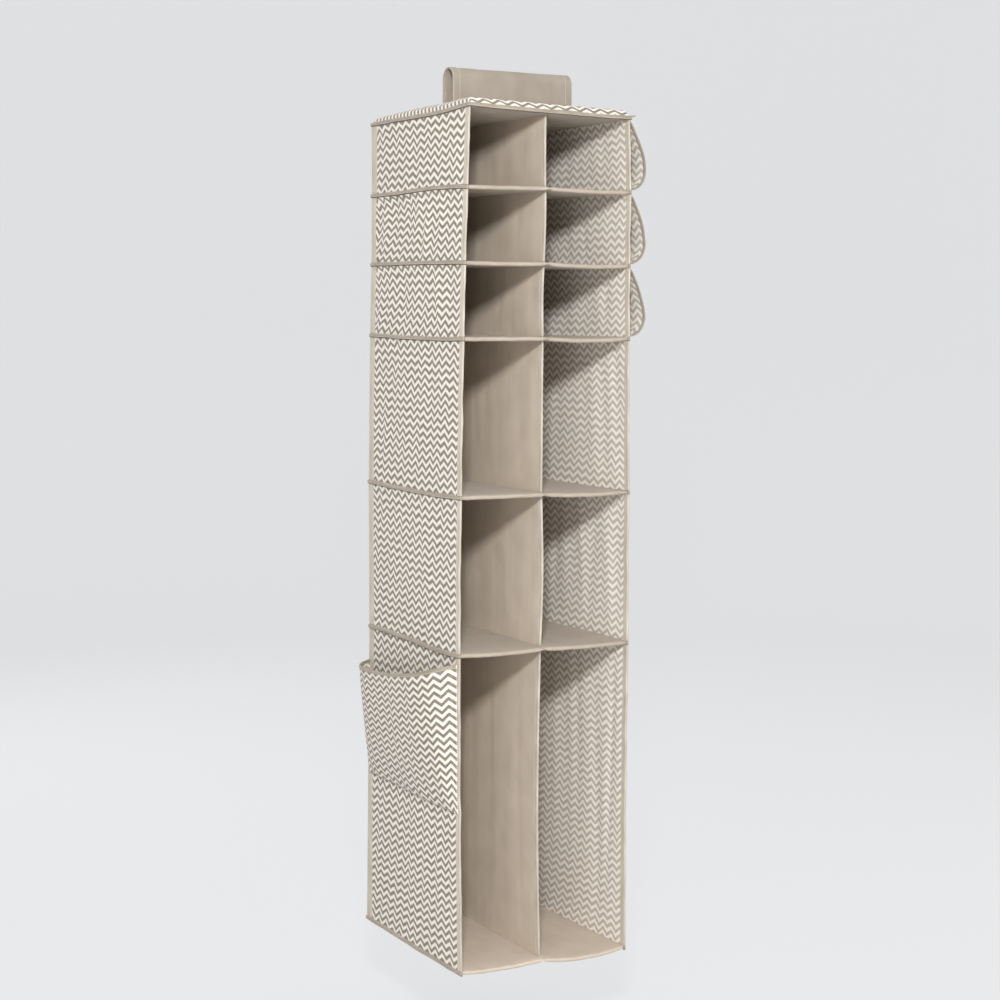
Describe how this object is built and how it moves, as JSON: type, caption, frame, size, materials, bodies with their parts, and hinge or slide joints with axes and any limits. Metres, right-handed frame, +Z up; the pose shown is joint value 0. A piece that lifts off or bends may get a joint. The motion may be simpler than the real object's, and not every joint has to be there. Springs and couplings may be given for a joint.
{
  "type": "hanging shoe organizer",
  "caption": "Soft fabric closet organizer that hangs from a rod by a wide strap, with tiers of open shoe cells, side sleeves and a side pocket; its tiers fold flat.",
  "frame": {"origin": "on the axis of the closet rod, at the middle of the strap's width", "axes": "+Z up, +X along the rod to the right as seen from the open front, the open front faces -Y"},
  "size_m": [0.3812, 0.362, 1.4746],
  "materials": {
    "chevron_fabric": "non-woven fabric with a cream and taupe zigzag print",
    "plain_fabric": "plain taupe non-woven fabric",
    "strap_fabric": "plain taupe doubled fabric",
    "binding_tape": "taupe binding tape",
    "board": "grey-brown chipboard",
    "closure_tape": "hook and loop tape"
  },
  "bodies": {
    "top": {"top_cover": "chevron_fabric", "top_board": "board", "top_binding": "binding_tape", "hanging_strap": "strap_fabric", "strap_tab": "strap_fabric", "loop_tape": "closure_tape", "left_wall_1": "chevron_fabric", "right_wall_1": "chevron_fabric", "back_wall_1": "plain_fabric", "divider_1": "plain_fabric", "edge_binding_1": "binding_tape", "right_sleeve_1": "chevron_fabric"},
    "strap_flap": {"strap_flap": "strap_fabric", "hook_tape": "closure_tape"},
    "shelf_1": {"shelf_cover_1": "plain_fabric", "shelf_boards_1": "board", "seam_binding_1": "binding_tape", "left_wall_2": "chevron_fabric", "right_wall_2": "chevron_fabric", "back_wall_2": "plain_fabric", "divider_2": "plain_fabric", "edge_binding_2": "binding_tape", "right_sleeve_2": "chevron_fabric"},
    "shelf_2": {"shelf_cover_2": "plain_fabric", "shelf_boards_2": "board", "seam_binding_2": "binding_tape", "left_wall_3": "chevron_fabric", "right_wall_3": "chevron_fabric", "back_wall_3": "plain_fabric", "divider_3": "plain_fabric", "edge_binding_3": "binding_tape", "right_sleeve_3": "chevron_fabric"},
    "shelf_3": {"shelf_cover_3": "plain_fabric", "shelf_boards_3": "board", "seam_binding_3": "binding_tape", "left_wall_4": "chevron_fabric", "right_wall_4": "chevron_fabric", "back_wall_4": "plain_fabric", "divider_4": "plain_fabric", "edge_binding_4": "binding_tape"},
    "shelf_4": {"shelf_cover_4": "plain_fabric", "shelf_boards_4": "board", "seam_binding_4": "binding_tape", "left_wall_5": "chevron_fabric", "right_wall_5": "chevron_fabric", "back_wall_5": "plain_fabric", "divider_5": "plain_fabric", "edge_binding_5": "binding_tape"},
    "shelf_5": {"shelf_cover_5": "plain_fabric", "shelf_boards_5": "board", "seam_binding_5": "binding_tape", "left_wall_6": "chevron_fabric", "right_wall_6": "chevron_fabric", "back_wall_6": "plain_fabric", "divider_6": "plain_fabric", "edge_binding_6": "binding_tape", "left_pocket": "chevron_fabric"},
    "bottom": {"bottom_cover": "plain_fabric", "bottom_boards": "board", "bottom_binding": "binding_tape"}
  },
  "joints": [
    {"name": "tier_1_fold", "type": "slide", "parent": "top", "child": "shelf_1", "axis": [0, 0, 1], "range_m": [0, 0.107], "deforming": ["left_wall_1", "right_wall_1", "back_wall_1", "divider_1", "edge_binding_1", "right_sleeve_1"]},
    {"name": "tier_2_fold", "type": "slide", "parent": "shelf_1", "child": "shelf_2", "axis": [0, 0, 1], "range_m": [0, 0.107], "deforming": ["left_wall_2", "right_wall_2", "back_wall_2", "divider_2", "edge_binding_2", "right_sleeve_2"]},
    {"name": "tier_3_fold", "type": "slide", "parent": "shelf_2", "child": "shelf_3", "axis": [0, 0, 1], "range_m": [0, 0.107], "deforming": ["left_wall_3", "right_wall_3", "back_wall_3", "divider_3", "edge_binding_3", "right_sleeve_3"]},
    {"name": "tier_4_fold", "type": "slide", "parent": "shelf_3", "child": "shelf_4", "axis": [0, 0, 1], "range_m": [0, 0.24], "deforming": ["left_wall_4", "right_wall_4", "back_wall_4", "divider_4", "edge_binding_4"]},
    {"name": "tier_5_fold", "type": "slide", "parent": "shelf_4", "child": "shelf_5", "axis": [0, 0, 1], "range_m": [0, 0.24], "deforming": ["left_wall_5", "right_wall_5", "back_wall_5", "divider_5", "edge_binding_5"]},
    {"name": "tier_6_fold", "type": "slide", "parent": "shelf_5", "child": "bottom", "axis": [0, 0, 1], "range_m": [0, 0.506], "deforming": ["left_wall_6", "right_wall_6", "back_wall_6", "divider_6", "edge_binding_6", "left_pocket"]},
    {"name": "strap_open", "type": "hinge", "parent": "top", "child": "strap_flap", "pos_m": [0, 0.0185, 0], "axis": [1, 0, 0], "range_deg": [0, 170]}
  ]
}
